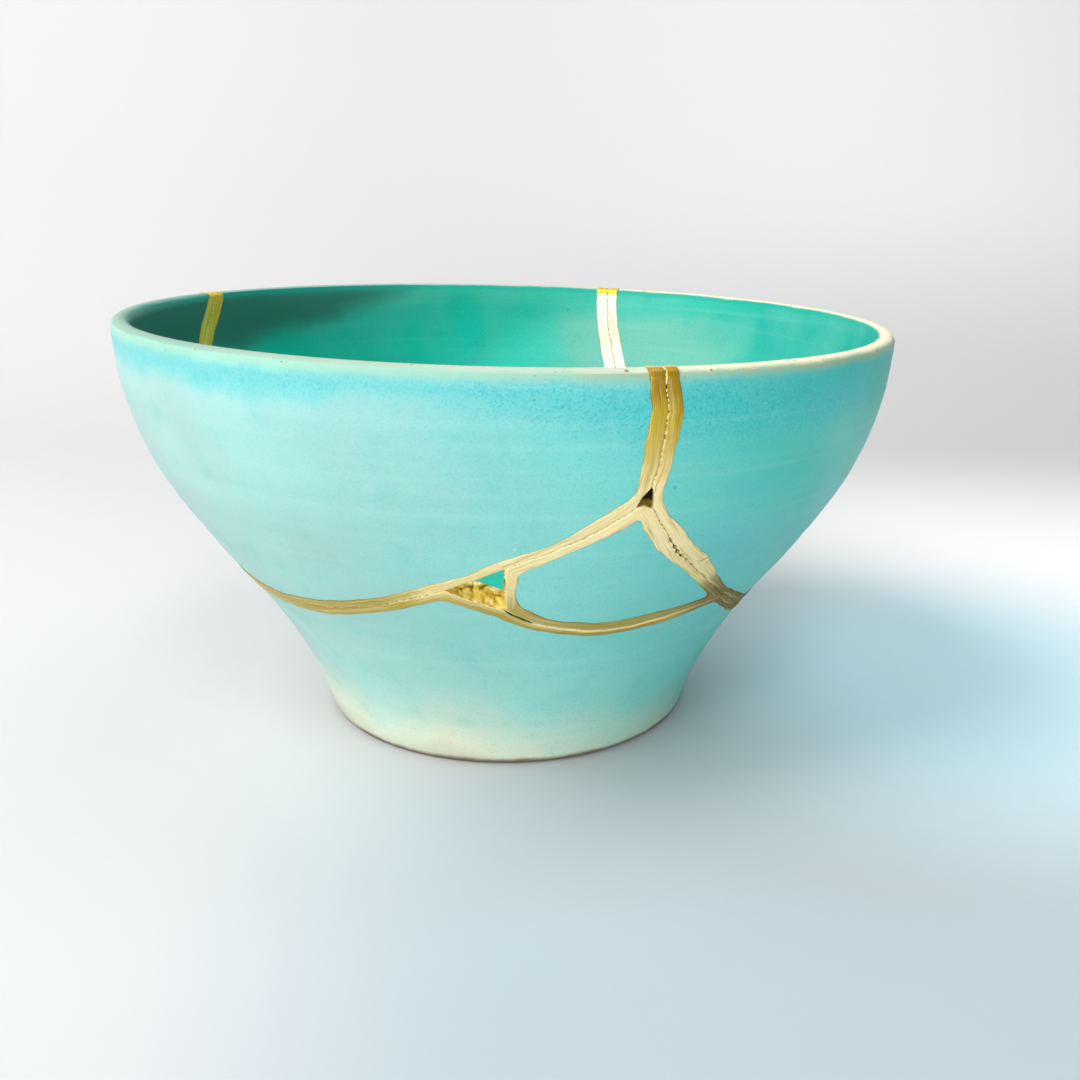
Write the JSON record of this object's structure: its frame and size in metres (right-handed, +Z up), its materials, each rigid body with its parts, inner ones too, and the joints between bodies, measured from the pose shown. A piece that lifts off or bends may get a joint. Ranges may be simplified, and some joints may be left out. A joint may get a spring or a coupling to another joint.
{
  "type": "kintsugi bowl",
  "caption": "Round footed turquoise glazed stoneware bowl, broken and mended with raised gold seams in the kintsugi manner, with one missing chip left open.",
  "frame": {"origin": "on the surface the bowl stands on, under the middle of the bowl", "axes": "+Z up along the bowl's axis; -Y towards the viewer of the picture; +X to the viewer's right"},
  "size_m": [0.1296, 0.1296, 0.0692],
  "materials": {
    "front_shard": "satin turquoise glaze",
    "right_shard": "satin turquoise glaze",
    "back_shard": "satin turquoise glaze",
    "lens_shard": "satin turquoise glaze",
    "foot_shard": "satin turquoise glaze thinning to cream at the foot",
    "gold_seam": "burnished gold laid on lacquer"
  },
  "bodies": {
    "root": {"front_shard": "front_shard", "right_shard": "right_shard", "back_shard": "back_shard", "lens_shard": "lens_shard", "foot_shard": "foot_shard", "gold_seam": "gold_seam"}
  },
  "joints": []
}
